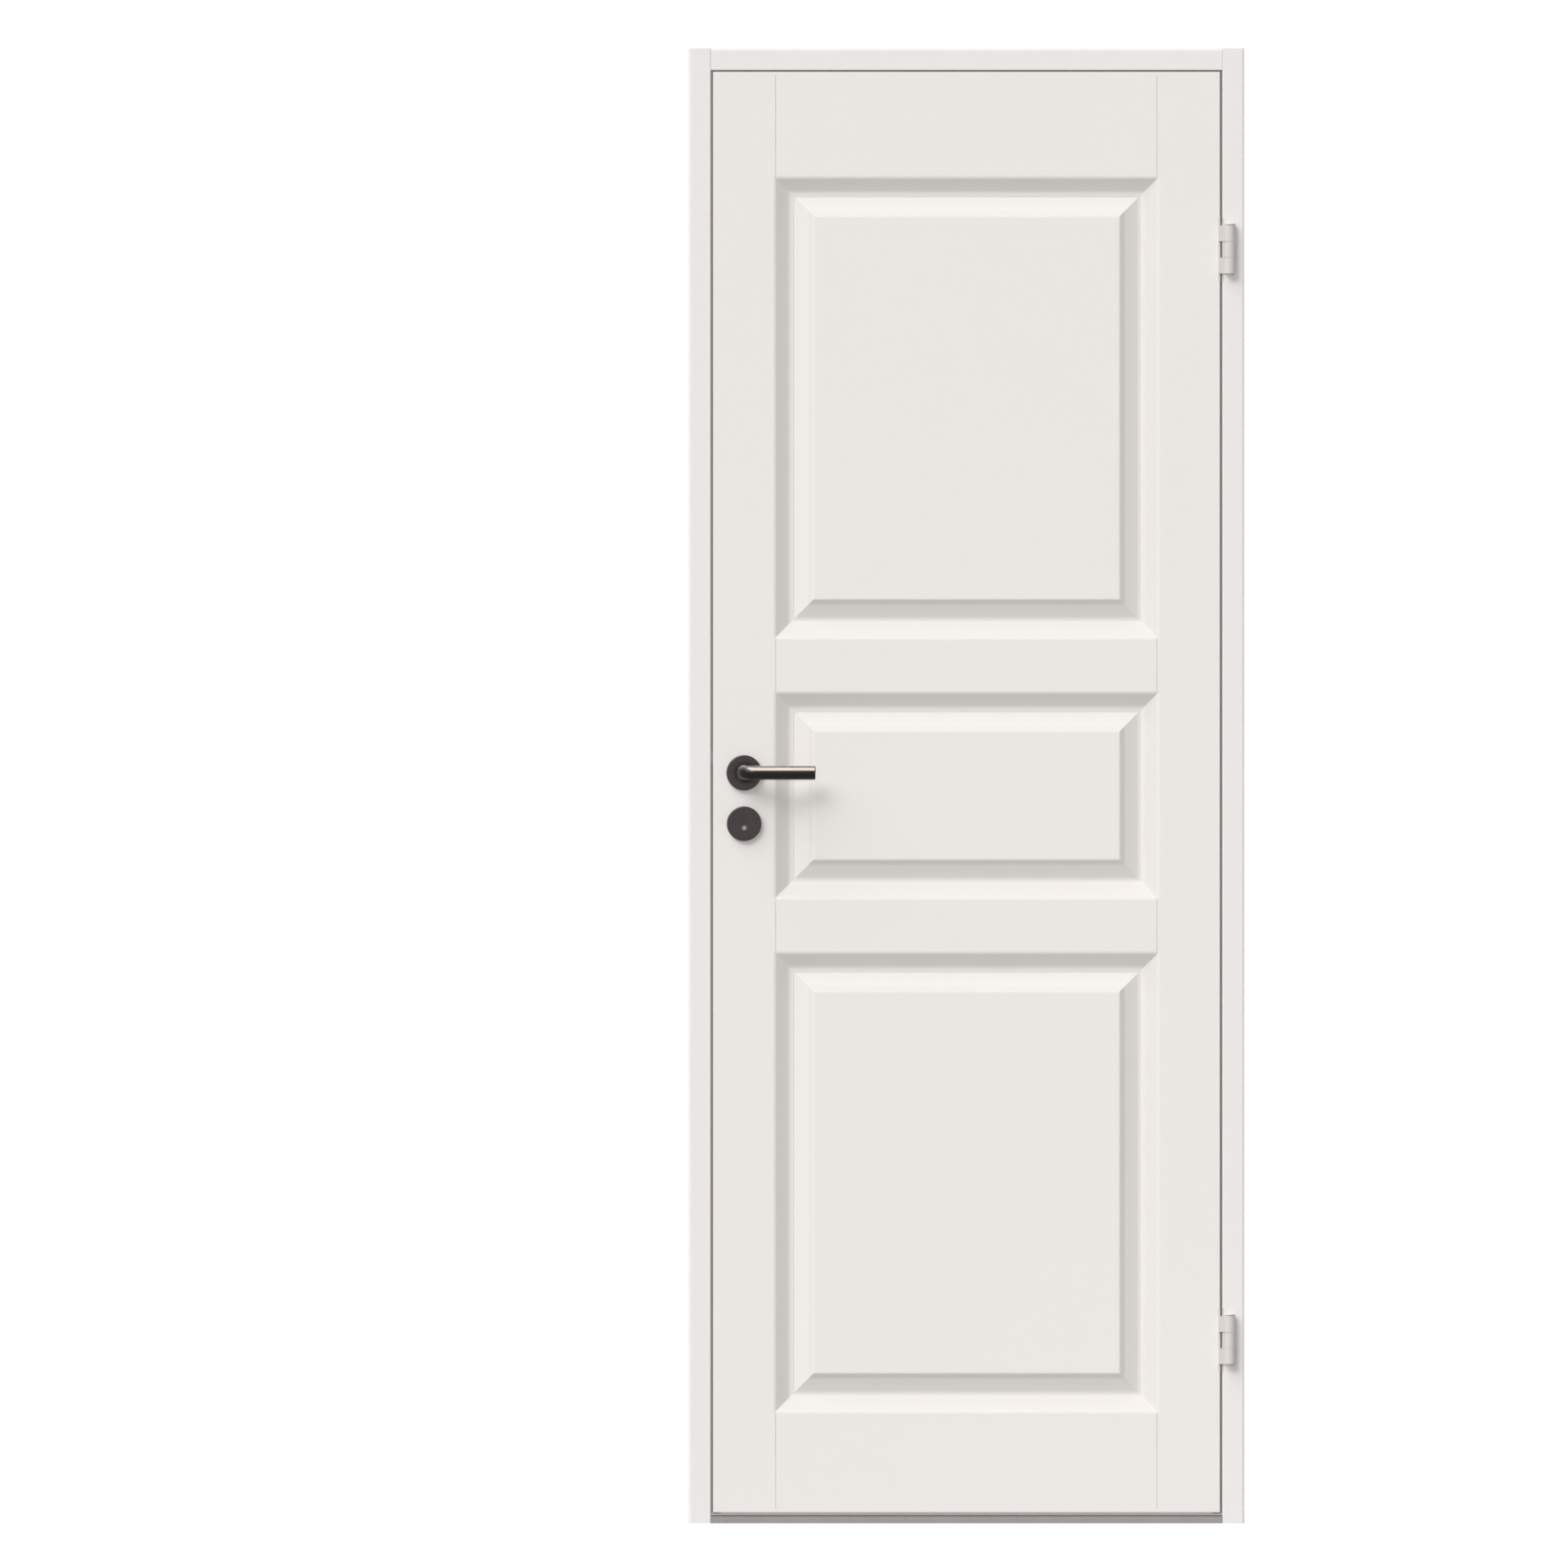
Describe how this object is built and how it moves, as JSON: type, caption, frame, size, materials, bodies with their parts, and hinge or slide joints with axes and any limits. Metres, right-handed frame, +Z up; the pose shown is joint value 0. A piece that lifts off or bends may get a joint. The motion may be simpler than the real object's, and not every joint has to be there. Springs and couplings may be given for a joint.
{
  "type": "interior door with frame",
  "caption": "White interior door leaf with raised panels, hung in its rebated frame on loose-pin hinges, with round lever handles and a privacy turn.",
  "frame": {"origin": "on the floor, below the middle of the leaf's thickness and of the frame's width", "axes": "+X to the right across the door, +Y away from the side it opens towards, +Z up"},
  "size_m": [0.785, 0.1554, 2.085],
  "materials": {
    "painted_wood": "satin white paint",
    "dowel_wood": "bare beech",
    "threshold_alloy": "satin grey anodised",
    "seal": "matt light grey",
    "white_hinge": "white powder coat",
    "dark_metal": "polished dark plating",
    "indicator": "pale field beside a red one",
    "zinc_steel": "bright zinc plating"
  },
  "bodies": {
    "frame": {"hinge_jamb": "painted_wood", "strike_jamb": "painted_wood", "frame_head": "painted_wood", "threshold": "threshold_alloy", "frame_seals": "seal", "fixing_sleeves": "zinc_steel", "head_screws": "zinc_steel", "threshold_screws": "zinc_steel", "strike_plate": "zinc_steel", "strike_screws": "zinc_steel", "upper_frame_hinge": "white_hinge", "lower_frame_hinge": "white_hinge", "upper_hinge_pin": "white_hinge", "lower_hinge_pin": "white_hinge", "hinge_washers": "zinc_steel", "frame_hinge_screws": "zinc_steel"},
    "leaf": {"hinge_stile": "painted_wood", "lock_stile": "painted_wood", "top_rail": "painted_wood", "upper_rail": "painted_wood", "lower_rail": "painted_wood", "bottom_rail": "painted_wood", "top_panel": "painted_wood", "middle_panel": "painted_wood", "bottom_panel": "painted_wood", "rail_dowels": "dowel_wood", "upper_leaf_hinge": "white_hinge", "lower_leaf_hinge": "white_hinge", "leaf_hinge_screws": "zinc_steel", "lock_case": "zinc_steel", "case_cover": "zinc_steel", "lock_forend": "zinc_steel", "forend_screws": "zinc_steel", "latch_spring": "zinc_steel", "front_handle_rose": "dark_metal", "rear_handle_rose": "dark_metal", "front_handle_base": "zinc_steel", "rear_handle_base": "zinc_steel", "front_lock_rose": "dark_metal", "rear_lock_rose": "dark_metal", "front_lock_base": "zinc_steel", "rear_lock_base": "zinc_steel", "rose_bolts": "zinc_steel", "rose_sleeves": "zinc_steel"},
    "lever": {"front_lever": "dark_metal", "rear_lever": "dark_metal", "lever_spindle": "zinc_steel", "lever_follower": "zinc_steel", "grub_screws": "dark_metal"},
    "latch": {"latch_bolt": "zinc_steel"},
    "turn": {"thumb_turn": "dark_metal", "turn_spindle": "zinc_steel", "bolt_cam": "zinc_steel", "indicator_disc": "indicator"},
    "bolt": {"dead_bolt": "zinc_steel"}
  },
  "joints": [
    {"name": "leaf_swing", "type": "hinge", "parent": "frame", "child": "leaf", "pos_m": [0.3725, -0.0285, 1.03], "axis": [0, 0, 1], "range_deg": [0, 170]},
    {"name": "lever_turn", "type": "hinge", "parent": "leaf", "child": "lever", "pos_m": [-0.3145, 0, 1.061], "axis": [0, 1, 0], "range_deg": [0, 45], "stiffness_Nm_per_rad": 1, "springref_deg": -34.38},
    {"name": "latch_slide", "type": "slide", "parent": "leaf", "child": "latch", "axis": [1, 0, 0], "range_m": [0, 0.0106], "deforming": ["latch_spring"]},
    {"name": "turn_snib", "type": "hinge", "parent": "leaf", "child": "turn", "pos_m": [-0.3145, 0, 0.989], "axis": [0, -1, 0], "range_deg": [0, 90]},
    {"name": "bolt_slide", "type": "slide", "parent": "leaf", "child": "bolt", "axis": [-1, 0, 0], "range_m": [0, 0.014]}
  ],
  "couplings": [
    {"joint": "latch_slide", "follows": "lever_turn", "m_per_rad": 0.013496},
    {"joint": "turn_snib", "follows": "bolt_slide", "rad_per_m": 112.2}
  ]
}
